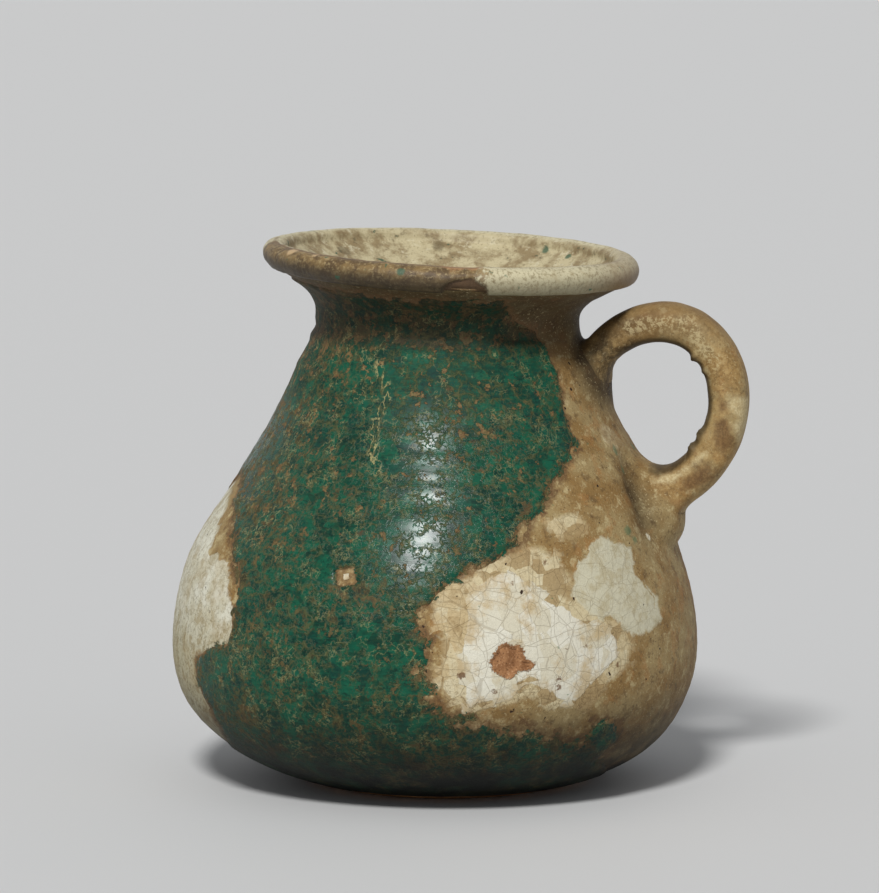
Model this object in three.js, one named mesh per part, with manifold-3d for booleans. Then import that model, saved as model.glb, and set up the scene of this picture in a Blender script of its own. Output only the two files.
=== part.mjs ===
// Small glazed pitcher, thrown on the wheel, with one looped handle. Millimetres, +Z up.
// The origin is the middle of the flat foot, and the handle points along +X.
import * as THREE from 'three';
import Module from 'manifold-3d';
import { mergeVertices } from 'three/addons/utils/BufferGeometryUtils.js';

// Outside of the finished pot, with the lean of its wall in degrees from upright. A drop is how far
// something lies below the rim.
const HEIGHT = 105;
const FOOT_RADIUS = 24;
const BELLY_RADIUS = 51.8;
const BELLY_HEIGHT = 27;
const SHOULDER_RADIUS = 40.2;
const SHOULDER_HEIGHT = 61.5;
const SHOULDER_LEAN = 32.5;
const COLLAR_RADIUS = 29.2;
const COLLAR_DROP = 22.6;
const COLLAR_LEAN = 19;
const COLLAR_FOLD = 28;
const THROAT_RADIUS = 25.9;
const THROAT_DROP = 13.5;
const LIP_RADIUS = 36.8;
const LIP_BEAD_RADIUS = 2.65;
const LIP_UNDERCUT = 34;

// How far each curve of the outline runs on before it bends
const FOOT_RUN = 16;
const FOOT_RISE = 3.6;
const BELLY_RUN = 14;
const SHOULDER_RUN = 10;
const COLLAR_RUN = 4.5;
const THROAT_RUN = 4.5;

// Clay
const WALL = 3.6;
const FLOOR = 5.5;
const FUNNEL_LEAN = 42;

// Coats over the clay, and the hairline left between two layers
const WHITE_COAT = 0.3;
const GREEN_COAT = 0.4;
const MOUTH_COAT = 0.8;
const HANDLE_COAT = 0.45;
const HAIRLINE = 0.15;
const COAT_START = 1.2;
const MOUTH_COAT_DEPTH = 17;

// How the soft clay settled: the belly leans away from the handle, from the foot up to the shoulder,
// and the rim dips towards it
const BELLY_SAG = 2.15;
const SAG_RISE = 16.2;
const SAG_FADE = 18.5;
const RIM_SHIFT = 0.8;
const RIM_TILT = 3;
const RIM_BEND_HEIGHT = 8.1;

// Handle: a flattened coil, and the course of its middle line
const COIL_THICKNESS = 7.7;
const COIL_WIDTH = 10.5;
const UPPER_ROOT_DROP = 26;
const UPPER_ROOT_RISE = 66;
const UPPER_ROOT_RUN = 6.5;
const CROWN_REACH = 42.5;
const CROWN_DROP = 14.8;
const LOOP_REACH = 56.4;
const LOOP_WAIST_DROP = 28;
const LOOP_ROUNDNESS = 0.55;
const LOWER_ROOT_HEIGHT = 57;
const LOWER_ROOT_RISE = 21;
const LOWER_ROOT_RUN = 9.5;
const ROOT_BITE = 1.5;
const SEAT_GAP = 0.3;

// Wads of clay that hold the handle: how proud they stand, half width and half length, and how far
// their middle is above the coil's end
const UPPER_LUTE = { proud: 3.4, halfWidth: 10.5, halfLength: 8.5, rise: 2.5 };
const LOWER_LUTE = { proud: 3.2, halfWidth: 11, halfLength: 9, rise: -2.5 };

// Places where the coats are worn or chipped away: direction from the axis in degrees,
// height, half width and half height
const RIGHT_WEAR = { turn: -30, height: 37, halfWidth: 40, halfHeight: 25 };
const LEFT_WEAR = { turn: -160, height: 37, halfWidth: 22, halfHeight: 20 };
const BIG_CHIP = { turn: -64, height: 31, halfWidth: 4.5, halfHeight: 3.6 };
const SMALL_CHIP = { turn: -101.5, height: 46.9, halfWidth: 2.4, halfHeight: 2 };
const LIP_CHIP = { turn: -75, height: HEIGHT - 5.6, halfWidth: 4.4, halfHeight: 1.6 };
const CHIP_WAVES = [
  { count: 3, depth: 0.06, turn: 1 },
  { count: 5, depth: 0.036, turn: 0 },
];

// Fineness of the facets
const MERIDIANS = 40;
const BELLY_STEPS = 5;
const SHOULDER_STEPS = 4;
const NECK_STEPS = 2;
const FLARE_STEPS = 4;
const BEAD_STEPS = 7;
const COIL_SIDES = 12;
const COIL_STEPS = 26;
const WAD_SIDES = 16;
const CHIP_POINTS = 24;
const MERGE_DISTANCE = 1e-4;

const wasm = await Module();
wasm.setup();

// Turns a closed three.js geometry into a solid for cutting and joining.
function solidOf(geometry) {
  const bare = geometry.clone();
  bare.deleteAttribute('normal');
  bare.deleteAttribute('uv');
  const merged = mergeVertices(bare, MERGE_DISTANCE);
  const corners = merged.index.array;
  const kept = [];
  for (let i = 0; i < corners.length; i += 3) {
    const [a, b, c] = corners.slice(i, i + 3);
    if (a !== b && b !== c && c !== a) kept.push(a, b, c);
  }
  const mesh = new wasm.Mesh({
    numProp: 3,
    vertProperties: new Float32Array(merged.attributes.position.array),
    triVerts: new Uint32Array(kept),
  });
  return new wasm.Manifold(mesh);
}

// And a solid back into a geometry.
function geometryOf(solid) {
  const { vertProperties, triVerts } = solid.getMesh();
  const geometry = new THREE.BufferGeometry();
  geometry.setAttribute('position', new THREE.BufferAttribute(vertProperties, 3));
  geometry.setIndex(new THREE.BufferAttribute(triVerts, 1));
  geometry.computeVertexNormals();
  return geometry;
}

// Settling of the soft clay

function smoothstep(t) {
  const u = Math.min(Math.max(t, 0), 1);
  return u * u * (3 - 2 * u);
}

// 0 up to the throat, 1 at the rim.
function rimShare(z) {
  return smoothstep((z - (HEIGHT - THROAT_DROP)) / RIM_BEND_HEIGHT);
}

// How far the pot's axis has moved along +X at a height.
function axisShift(z) {
  const rise = z / SAG_RISE;
  const fade = (SHOULDER_HEIGHT - z) / SAG_FADE;
  return -BELLY_SAG * smoothstep(Math.min(rise, fade)) + RIM_SHIFT * rimShare(z);
}

// Bends a true turned shape into the slightly sagged and tilted pot.
function settle(geometry) {
  const position = geometry.attributes.position;
  const dip = Math.tan(THREE.MathUtils.degToRad(RIM_TILT));
  for (let i = 0; i < position.count; i += 1) {
    const x = position.getX(i);
    const z = position.getZ(i);
    position.setX(i, x + axisShift(z));
    position.setZ(i, z - dip * x * rimShare(z));
  }
  return geometry;
}

// Turns a section, whose points are (radius, height), round the axis of the pot. A section that
// doesn't start on the axis is closed on itself.
function turned(section) {
  const onAxis = section[0].x === 0;
  const outline = onAxis ? section : [...section, section[0]];
  const geometry = new THREE.LatheGeometry(outline, MERIDIANS);
  geometry.rotateX(Math.PI / 2);
  return solidOf(settle(geometry));
}

// Outline of the pot

// A step of some length along a wall that leans in by an angle from upright.
function leaning(degrees, length) {
  const a = THREE.MathUtils.degToRad(degrees);
  return new THREE.Vector2(-Math.sin(a) * length, Math.cos(a) * length);
}

function bend(from, fromStep, to, toStep, steps) {
  const curve = new THREE.CubicBezierCurve(
    from, from.clone().add(fromStep), to.clone().sub(toStep), to);
  return curve.getPoints(steps);
}

const belly = new THREE.Vector2(BELLY_RADIUS, BELLY_HEIGHT);
const shoulder = new THREE.Vector2(SHOULDER_RADIUS, SHOULDER_HEIGHT);
const collar = new THREE.Vector2(COLLAR_RADIUS, HEIGHT - COLLAR_DROP);
const throat = new THREE.Vector2(THROAT_RADIUS, HEIGHT - THROAT_DROP);
const beadCentre = new THREE.Vector2(LIP_RADIUS - LIP_BEAD_RADIUS, HEIGHT - LIP_BEAD_RADIUS);

// A point of the lip's round bead, by its angle from straight down, turning outwards.
function onBead(degrees, radius) {
  const a = THREE.MathUtils.degToRad(degrees);
  return new THREE.Vector2(Math.sin(a) * radius, -Math.cos(a) * radius).add(beadCentre);
}

function beadArc(fromDegrees, toDegrees, radius) {
  const points = [];
  for (let i = 0; i <= BEAD_STEPS; i += 1) {
    points.push(onBead(fromDegrees + ((toDegrees - fromDegrees) * i) / BEAD_STEPS, radius));
  }
  return points;
}

// The finished outside from the foot's edge up to the throat.
function wallToThroat() {
  const foot = new THREE.Vector2(FOOT_RADIUS, 0);
  const footStep = new THREE.Vector2(FOOT_RUN, FOOT_RISE);
  const shoulderStep = leaning(SHOULDER_LEAN, SHOULDER_RUN);
  const collarStep = leaning(COLLAR_LEAN, COLLAR_RUN);
  const foldStep = leaning(COLLAR_FOLD, COLLAR_RUN);
  return [
    ...bend(foot, footStep, belly, leaning(0, BELLY_RUN), BELLY_STEPS),
    ...bend(belly, leaning(0, BELLY_RUN), shoulder, shoulderStep, SHOULDER_STEPS).slice(1),
    ...bend(shoulder, shoulderStep, collar, collarStep, NECK_STEPS).slice(1),
    ...bend(collar, foldStep, throat, leaning(0, THROAT_RUN), NECK_STEPS).slice(1),
  ];
}

// And from there out to the lip's underside.
function wallToLip() {
  const lip = onBead(LIP_UNDERCUT, LIP_BEAD_RADIUS);
  const outwards = leaning(LIP_UNDERCUT - 90, THROAT_RUN);
  return bend(throat, leaning(0, THROAT_RUN), lip, outwards, FLARE_STEPS).slice(1);
}

// A line of the pot moved towards the axis by a distance, square to itself.
function inset(line, distance) {
  return line.map((point, i) => {
    const before = line[Math.max(i - 1, 0)];
    const after = line[Math.min(i + 1, line.length - 1)];
    const along = after.clone().sub(before).normalize();
    return new THREE.Vector2(point.x - along.y * distance, point.y + along.x * distance);
  });
}

// The stretch of a rising line above a height, with its first piece cut or run on to meet it.
function above(line, z) {
  const i = Math.max(line.findIndex((point) => point.y > z), 1);
  const [below, over] = [line[i - 1], line[i]];
  const cut = below.clone().lerp(over, (z - below.y) / (over.y - below.y));
  return [cut, ...line.slice(i)];
}

const CLAY_INSET = WHITE_COAT + GREEN_COAT + 2 * HAIRLINE;
const CLAY_BEAD = LIP_BEAD_RADIUS - MOUTH_COAT - HAIRLINE;
const FUNNEL_ANGLE = 270 - FUNNEL_LEAN;

const wallLine = [...wallToThroat(), ...wallToLip()];
const clayOutside = inset(wallLine, CLAY_INSET);

// The clay's inside line, from the lip's bead down to the bottom corner.
function innerWall() {
  const inside = inset(wallToThroat(), CLAY_INSET + WALL).filter((point) => point.y > FLOOR + WALL);
  inside.reverse();
  const bead = onBead(FUNNEL_ANGLE, CLAY_BEAD);
  const run = bead.distanceTo(inside[0]) / 3;
  const inwards = leaning(180 - FUNNEL_LEAN, run);
  const funnel = bend(bead, inwards, inside[0], leaning(180, run), FLARE_STEPS);
  return [...funnel, ...inside.slice(1)];
}
const clayInside = innerWall();

// Radius of the clay's outside at a height, before it settles.
function clayRadius(z) {
  return above(clayOutside, z)[0].x;
}

// The thrown clay: flat foot, wall and lip core, open at the mouth. The coats end on a small ledge
// just over the foot.
function clayBody() {
  const ledge = COAT_START - SEAT_GAP;
  return turned([
    new THREE.Vector2(0, 0),
    new THREE.Vector2(FOOT_RADIUS, 0),
    above(wallLine, ledge)[0],
    ...above(clayOutside, ledge),
    ...beadArc(LIP_UNDERCUT, FUNNEL_ANGLE, CLAY_BEAD).slice(0, -1),
    ...clayInside,
    new THREE.Vector2(FOOT_RADIUS, FLOOR),
    new THREE.Vector2(0, FLOOR),
  ]);
}

// The space that the pot's clay and hollow fill, with the gap kept by what is pressed onto it.
function potEnvelope() {
  const skin = inset(wallLine, CLAY_INSET - SEAT_GAP);
  return turned([new THREE.Vector2(0, 0), ...skin, new THREE.Vector2(0, skin[skin.length - 1].y)]);
}

// Handle and the wads that hold it

// A point on the clay's outside on the handle's side, sunk by the bite.
function rootAt(z) {
  return new THREE.Vector3(clayRadius(z) + axisShift(z) - ROOT_BITE, 0, z);
}

function rising(degrees) {
  const a = THREE.MathUtils.degToRad(degrees);
  return new THREE.Vector3(Math.cos(a), 0, Math.sin(a));
}

const upperRoot = rootAt(HEIGHT - UPPER_ROOT_DROP);
const lowerRoot = rootAt(LOWER_ROOT_HEIGHT);

function handlePath() {
  const start = upperRoot;
  const crown = new THREE.Vector3(CROWN_REACH, 0, HEIGHT - CROWN_DROP);
  const side = new THREE.Vector3(LOOP_REACH, 0, HEIGHT - LOOP_WAIST_DROP);
  const end = lowerRoot;
  const across = new THREE.Vector3((side.x - crown.x) * LOOP_ROUNDNESS, 0, 0);
  const down = new THREE.Vector3(0, 0, (side.z - crown.z) * LOOP_ROUNDNESS);
  const path = new THREE.CurvePath();
  path.add(new THREE.CubicBezierCurve3(
    start, start.clone().addScaledVector(rising(UPPER_ROOT_RISE), UPPER_ROOT_RUN),
    crown.clone().sub(across), crown));
  path.add(new THREE.CubicBezierCurve3(
    crown, crown.clone().add(across), side.clone().sub(down), side));
  path.add(new THREE.CubicBezierCurve3(
    side, side.clone().addScaledVector(rising(-90), LOWER_ROOT_RUN),
    end.clone().addScaledVector(rising(LOWER_ROOT_RISE), LOWER_ROOT_RUN), end));
  return path;
}
const path = handlePath();

// A coil along the handle's path, thicker than the finished handle by a margin.
function coil(margin) {
  const section = new THREE.Shape();
  section.absellipse(0, 0, COIL_WIDTH / 2 + margin, COIL_THICKNESS / 2 + margin, 0, 2 * Math.PI);
  return solidOf(new THREE.ExtrudeGeometry(section, {
    steps: COIL_STEPS,
    extrudePath: path,
    curveSegments: COIL_SIDES / 2,
    bevelEnabled: false,
  }));
}

// A flattened ball of clay wrapped onto the pot's wall at an end of the coil, with its sole a gap off
// the clay. With a margin it is the room for that wad, which also reaches under the sole.
function wad(lute, root, margin) {
  const middle = root.z + lute.rise;
  const geometry = new THREE.SphereGeometry(1, WAD_SIDES, WAD_SIDES / 2);
  geometry.rotateY(Math.PI / 2);
  const position = geometry.attributes.position;
  for (let i = 0; i < position.count; i += 1) {
    const out = position.getX(i) * (lute.proud + margin);
    const side = position.getY(i) * (lute.halfWidth + margin);
    const up = position.getZ(i) * (lute.halfLength + margin);
    const stand = margin > 0 ? out : Math.max(out, 0);
    const radius = clayRadius(middle + up) + SEAT_GAP + stand;
    const turn = side / clayRadius(middle);
    position.setXYZ(i, radius * Math.cos(turn), radius * Math.sin(turn), middle + up);
  }
  return solidOf(settle(geometry));
}

const CLAY_COIL_MARGIN = -(HANDLE_COAT + HAIRLINE);
const envelope = potEnvelope();
const coilRoom = coil(CLAY_COIL_MARGIN + SEAT_GAP);
const wadRoom = wad(UPPER_LUTE, upperRoot, SEAT_GAP).add(wad(LOWER_LUTE, lowerRoot, SEAT_GAP));

// Coats

// A layer over the whole outside between two depths.
function layer(outside, inside) {
  const face = above(inset(wallLine, outside), COAT_START);
  const back = above(inset(wallLine, inside), COAT_START);
  return turned([...face, ...back.reverse()]);
}

// A worn or chipped place: a wavy patch driven straight in from one side, as deep as a radius.
function patch(place, innermost = 0) {
  const points = [];
  for (let i = 0; i < CHIP_POINTS; i += 1) {
    const a = (2 * Math.PI * i) / CHIP_POINTS;
    const reach = 1 + CHIP_WAVES.reduce((sum, wave) => (
      sum + wave.depth * Math.sin(wave.count * a + wave.turn)), 0);
    const sideways = place.halfWidth * reach * Math.cos(a);
    const up = place.height + place.halfHeight * reach * Math.sin(a);
    points.push(new THREE.Vector2(sideways, up));
  }
  const geometry = new THREE.ExtrudeGeometry(new THREE.Shape(points), {
    depth: 2 * BELLY_RADIUS,
    bevelEnabled: false,
  });
  geometry.rotateX(Math.PI / 2);
  geometry.translate(0, -innermost, 0);
  geometry.rotateZ(THREE.MathUtils.degToRad(place.turn + 90));
  return solidOf(geometry);
}

const chips = patch(BIG_CHIP).add(patch(SMALL_CHIP));
const rootRoom = wadRoom.add(coil(SEAT_GAP));

function whiteCoat() {
  const depth = GREEN_COAT + HAIRLINE;
  return layer(depth, depth + WHITE_COAT).subtract(rootRoom).subtract(chips);
}

function greenCoat() {
  const worn = patch(RIGHT_WEAR).add(patch(LEFT_WEAR)).add(chips);
  return layer(0, GREEN_COAT).subtract(rootRoom).subtract(worn);
}

// Thick glaze over the lip and a short way down inside the mouth.
function mouthCoat() {
  const start = LIP_UNDERCUT + THREE.MathUtils.radToDeg(SEAT_GAP / CLAY_BEAD);
  const inside = clayInside.filter((point) => point.y > HEIGHT - MOUTH_COAT_DEPTH);
  return turned([
    ...beadArc(start, FUNNEL_ANGLE, LIP_BEAD_RADIUS).slice(0, -1),
    ...inset(inside, -(HAIRLINE + MOUTH_COAT)),
    ...inset(inside, -HAIRLINE).reverse(),
    ...beadArc(FUNNEL_ANGLE, start, CLAY_BEAD + HAIRLINE).slice(1),
  ]).subtract(patch(LIP_CHIP, LIP_RADIUS - LIP_BEAD_RADIUS));
}

function handleCoat() {
  const sleeve = coil(0).subtract(coil(CLAY_COIL_MARGIN + HAIRLINE));
  return sleeve.subtract(envelope).subtract(wadRoom);
}

// The pot as it is put together: thrown clay, handle, wads, then the coats

const pitcher = new THREE.Group();
function lay(name, solid, color, roughness) {
  const material = new THREE.MeshStandardMaterial({ color, roughness, metalness: 0 });
  const mesh = new THREE.Mesh(geometryOf(solid), material);
  mesh.name = name;
  pitcher.add(mesh);
}

lay('clay_body', clayBody(), 0x9c5f3c, 0.9);
lay('handle_coil', coil(CLAY_COIL_MARGIN).subtract(envelope), 0xa9784e, 0.85);
lay('upper_lute', wad(UPPER_LUTE, upperRoot, 0).subtract(coilRoom), 0xa27a52, 0.8);
lay('lower_lute', wad(LOWER_LUTE, lowerRoot, 0).subtract(coilRoom), 0xa27a52, 0.8);
lay('white_coat', whiteCoat(), 0xcfc7ae, 0.55);
lay('green_coat', greenCoat(), 0x1d5a49, 0.25);
lay('mouth_coat', mouthCoat(), 0xb9aa8c, 0.45);
lay('handle_coat', handleCoat(), 0xa8875c, 0.5);

export default pitcher;
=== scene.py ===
import bpy
import numpy as np
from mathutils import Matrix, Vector


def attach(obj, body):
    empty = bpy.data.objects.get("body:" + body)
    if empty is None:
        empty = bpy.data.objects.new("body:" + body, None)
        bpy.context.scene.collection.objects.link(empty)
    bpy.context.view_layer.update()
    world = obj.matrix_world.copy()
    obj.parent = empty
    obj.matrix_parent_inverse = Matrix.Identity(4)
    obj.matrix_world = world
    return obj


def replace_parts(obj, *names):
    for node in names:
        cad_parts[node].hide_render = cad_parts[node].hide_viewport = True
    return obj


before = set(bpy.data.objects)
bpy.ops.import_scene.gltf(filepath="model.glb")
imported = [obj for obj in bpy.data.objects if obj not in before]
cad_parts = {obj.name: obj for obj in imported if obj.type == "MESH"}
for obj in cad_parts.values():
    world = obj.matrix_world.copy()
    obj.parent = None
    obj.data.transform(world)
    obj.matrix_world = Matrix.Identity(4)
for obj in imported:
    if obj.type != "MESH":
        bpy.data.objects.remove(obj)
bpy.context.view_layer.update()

# The thrown clay wall
# Red-brown clay thrown on the wheel: flat foot, low round belly, leaning shoulder, short neck and
# flared lip. It settled a little before it was fired, so the belly leans back and the rim dips. Its
# own colour only shows in the chips, at the foot and inside. Sizes are in millimetres.

MM = 0.001
HEIGHT = 105
FOOT = np.array([24, 0])
BELLY = np.array([52.05, 27])
SHOULDER = np.array([40.2, 61.5])
COLLAR = np.array([29.2, 82.4])
THROAT = np.array([25.9, 91.5])
LIP_RADIUS = 36.8
BEAD_RADIUS = 2.65
BEAD_START = 34
FUNNEL_ANGLE = 228
FUNNEL_LEAN = 42
WALL = 3.6
FLOOR = 5.5
GREEN_THICK = 0.4
WHITE_THICK = 0.35
CLAY_DEPTH = GREEN_THICK + WHITE_THICK
CLAY_BEAD_RADIUS = 1.05
FLOOR_RADIUS = 21
BELLY_BACK = 2.15
RIM_FORWARD = 0.8
RIM_TILT = np.tan(np.radians(3))
WHEEL_RINGS = [(87.8, 0.9, 0.3), (89.6, 0.9, -0.3), (59.8, 1.2, -0.17), (70, 1.6, -0.1)]


def leaning(degrees, far):
    """A step of a length along a wall that leans in from upright, as (radius, height)."""
    lean = np.radians(degrees)
    return np.array([-np.sin(lean), np.cos(lean)]) * far


def curve(start, start_step, end, end_step, count=40):
    """Points of a cubic curve that leaves start along start_step and reaches end along end_step."""
    t = np.linspace(0, 1, count)[:, None]
    near_start, near_end = start + start_step, end - end_step
    return ((1 - t) ** 3 * start + 3 * t * (1 - t) ** 2 * near_start
            + 3 * t * t * (1 - t) * near_end + t ** 3 * end)


def joined(*lines):
    """Lines put end to end, each without the point that it shares with the one before."""
    return np.vstack([lines[0]] + [line[1:] for line in lines[1:]])


def length(steps):
    """How long each step is."""
    return np.linalg.norm(steps, axis=-1)


def unit(steps):
    """Steps in the same directions, each 1 long."""
    return steps / np.maximum(length(steps)[..., None], 1e-9)


def walked(line):
    """How far along a line each of its points lies."""
    return np.concatenate([[0], np.cumsum(length(np.diff(line, axis=0)))])


def spaced(line, count):
    """The same line with count points at even steps."""
    along = walked(line)
    even = np.linspace(0, along[-1], count)
    return np.column_stack([np.interp(even, along, values) for values in line.T])


def inset(line, depth):
    """A line moved to its left by a depth, square to itself: towards the axis where it rises."""
    step = unit(np.gradient(line, axis=0))
    return line + np.column_stack([-step[:, 1], step[:, 0]]) * depth


def bead(degrees, radius):
    """Points of the lip's round bead by their angles from straight down, turning outwards."""
    a = np.radians(degrees)
    middle = np.array([LIP_RADIUS - BEAD_RADIUS, HEIGHT - BEAD_RADIUS])
    return middle + radius * np.column_stack([np.sin(a), -np.cos(a)])


def smooth(value, low, high):
    """0 below low and 1 above high, with a smooth rise between them."""
    t = np.clip((value - low) / (high - low), 0, 1)
    return t * t * (3 - 2 * t)


lip_underside = bead([BEAD_START], BEAD_RADIUS)[0]
wall_line = joined(
    curve(FOOT, np.array([17, 3.6]), BELLY, leaning(0, 14.6)),
    curve(BELLY, leaning(0, 14), SHOULDER, leaning(32.5, 10)),
    curve(SHOULDER, leaning(32.5, 10), COLLAR, leaning(19, 4.5)),
    curve(COLLAR, leaning(28, 4.5), THROAT, leaning(0, 4.5)),
    curve(THROAT, leaning(0, 4.5), lip_underside, leaning(BEAD_START - 90, 4.5)),
)
wall_reach = walked(wall_line)


def inner_line():
    """The clay's inside from the lip's crest down through the funnel to the floor's edge."""
    below_throat = wall_line[wall_line[:, 1] <= THROAT[1]]
    lining = inset(below_throat, CLAY_DEPTH + WALL + 0.25)
    lining = lining[lining[:, 1] > FLOOR + WALL][::-1]
    crest = bead([FUNNEL_ANGLE], CLAY_BEAD_RADIUS)[0]
    run = length(crest - lining[0]) / 3
    funnel = curve(crest, leaning(180 - FUNNEL_LEAN, run), lining[0], leaning(180, run))
    floor_edge = np.array([FLOOR_RADIUS, FLOOR])
    bowl = curve(lining[-1], np.array([-3.5, -2.6]), floor_edge, np.array([-5, 0]), 12)
    return joined(funnel, lining, bowl)


def turns(count, first=-180):
    """Even turns all the way round, in degrees."""
    return np.linspace(first, first + 360, count, endpoint=False)


def from_turn(turn, middle):
    """The turn from a middle direction, from -180 to 180 degrees."""
    return (turn - middle + 180) % 360 - 180


def turned(line, columns):
    """A (radius, height) line carried round the axis: a row of points for each point of the line."""
    turn = np.radians(turns(columns))
    radius, height = line[:, :1], line[:, 1:]
    return np.stack([radius * np.cos(turn), radius * np.sin(turn), height + 0 * turn], axis=-1)


def rim_share(z):
    """0 up to the middle of the neck and 1 at the rim."""
    return smooth(z, THROAT[1] - 4.5, THROAT[1] + 6.5)


def axis_shift(z):
    """How far the axis of the pot moved along X at a height: back at the belly, forwards at the rim. The
    move back sets in over the lowest 18 mm and is gone again at the shoulder."""
    at_belly = smooth(np.minimum(z / 18, (SHOULDER[1] - z) / 18.5), 0, 1)
    return RIM_FORWARD * rim_share(z) - BELLY_BACK * at_belly


def settled(points):
    """The true turned shape moved along by axis_shift, with its rim tilted down to +X."""
    x, y, z = points[..., 0], points[..., 1], points[..., 2]
    return np.stack([x + axis_shift(z), y, z - RIM_TILT * x * rim_share(z)], axis=-1)


def clouds(points, size, seed):
    """Smooth noise from -1 to 1. Each corner of a cubic lattice of a size gets a random height, and a
    point blends the eight corners round it by a smooth step along each axis."""
    heights = np.random.default_rng(seed).uniform(-1, 1, 4096)
    lattice = points / size + 64
    cell = np.floor(lattice).astype(np.int64)
    part = lattice - cell
    part = part * part * (3 - 2 * part)
    total = np.zeros(points.shape[:-1])
    for corner in np.ndindex(2, 2, 2):
        index = cell + corner
        pick = (index[..., 0] * 73 + index[..., 1] * 1021 + index[..., 2] * 5519) % 4096
        total += heights[pick] * np.prod(np.where(corner, part, 1 - part), axis=-1)
    return total


def outward(grid):
    """The direction square to a grid whose rows run round: across the row, then along the column."""
    across = np.roll(grid, -1, axis=1) - np.roll(grid, 1, axis=1)
    return unit(np.cross(across, np.gradient(grid, axis=0)))


def hump(distance, width):
    """A soft rise to 1 where a distance is 0, all but gone at twice the width."""
    return np.exp(-(distance / width) ** 2)


def wheel_marks(height, turn):
    """Low waving ridges that the fingers left round the wall, and a few rings: the fold under the neck and
    two grooves. A ring is a height, a width and how proud it stands."""
    marks = 0.02 * np.sin(height * 2.15 + 0.8 * np.sin(turn))
    marks = (marks + 0.012 * np.sin(height * 3.7 + 1.3 * np.cos(turn))) * smooth(height, 2, 12)
    for ring_height, width, proud in WHEEL_RINGS:
        marks = marks + proud * hump(height - ring_height, width)
    return marks


def off_path(point, path):
    """How far each flat point lies from a path of straight steps."""
    nearest = np.full(point.shape[:-1], np.inf)
    for a, b in zip(path[:-1], path[1:]):
        side = b - a
        share = np.clip(((point - a) @ side) / max(side @ side, 1e-9), 0, 1)
        nearest = np.minimum(nearest, length(point - a - share[..., None] * side))
    return nearest


DENTED_RADIUS = 44
THUMB_DENTS = [
    ([(-12, 65), (-15.5, 60)], 2.8, 0.5),
    ([(-15.5, 58.5), (-17, 54)], 4.2, 1.2),
    ([(-3.5, 54.6), (3.5, 54.6)], 1.5, 0.5),
]


def dents(point):
    """How deep the fingers pressed beside the handle: a soft valley along each stroke. A stroke is a path
    of (turn in degrees, height) with a width and a depth, laid flat at DENTED_RADIUS."""
    flat = np.stack([np.arctan2(point[..., 1], point[..., 0]) * DENTED_RADIUS, point[..., 2]], axis=-1)
    total = np.zeros(point.shape[:-1])
    for stroke, wide, deep in THUMB_DENTS:
        path = np.array([(np.radians(turn) * DENTED_RADIUS, height) for turn, height in stroke])
        total += deep * hump(off_path(flat, path), wide)
    return total


def thrown(line, columns):
    """The pot's wall over a line: turned, settled, and moved square to itself by the wheel marks and by
    slow noise, as a hand leaves it."""
    true = turned(line, columns)
    grid = settled(true)
    turn = np.arctan2(true[..., 1], true[..., 0])
    lift = wheel_marks(true[..., 2], turn) + 0.2 * clouds(grid, 26, 1) + 0.05 * clouds(grid, 9, 2)
    lift *= smooth(true[..., 2], 0, 6)
    return grid + outward(grid) * lift[..., None]


def skin(name, grid, ring=False, marks={}):
    """A closed mesh over a grid whose rows run round. As a ring the last row joins the first, and
    otherwise both end rows close on a middle point. Marks are numbers kept at the points by name."""
    rows, columns = grid.shape[:2]
    corner = np.arange(rows * columns).reshape(rows, columns)
    points = grid.reshape(-1, 3)
    if ring:
        corner = np.vstack([corner, corner[:1]])
    beside = np.roll(corner, -1, axis=1)
    squares = np.stack([corner[:-1], beside[:-1], beside[1:], corner[1:]], axis=-1).reshape(-1, 4)
    faces = squares.tolist()
    if not ring:
        first, last = rows * columns, rows * columns + 1
        points = np.vstack([points, grid[0].mean(axis=0), grid[-1].mean(axis=0)])
        faces += [(first, b, a) for a, b in zip(corner[0].tolist(), beside[0].tolist())]
        faces += [(a, b, last) for a, b in zip(corner[-1].tolist(), beside[-1].tolist())]
    mesh = bpy.data.meshes.new(name)
    mesh.from_pydata((points * MM).tolist(), [], faces)
    mesh.shade_smooth()
    for mark, values in marks.items():
        kept = np.zeros(len(points), np.float32)
        kept[:values.size] = values.ravel()
        mesh.attributes.new(mark, "FLOAT", "POINT").data.foreach_set("value", kept)
    piece = bpy.data.objects.new(name, mesh)
    bpy.context.scene.collection.objects.link(piece)
    return piece


def along_wall(height):
    """How far up the wall's outside a height lies, measured along the wall from the foot's edge."""
    return np.interp(height, wall_line[:, 1], wall_reach) + np.minimum(height, 0)


FLAT_RADIUS = 45


def pairs(outline):
    """The corners of an outline, which is written as one list: turn, height, turn, height and so on."""
    return np.reshape(outline, (-1, 2)).astype(float)


def laid_flat(line, columns, outline):
    """The points of a turned line, and the corners of an outline on the wall, both laid flat: mm across,
    with turns measured at FLAT_RADIUS, and mm up along the wall."""
    corners = pairs(outline)
    middle = corners[:, 0].mean()
    across = np.radians(from_turn(turns(columns), middle)) * FLAT_RADIUS
    point = np.stack(np.broadcast_arrays(across, along_wall(line[:, 1:])), axis=-1)
    corners_across = np.radians(corners[:, 0] - middle) * FLAT_RADIUS
    return point, np.column_stack([corners_across, along_wall(corners[:, 1])])


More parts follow.
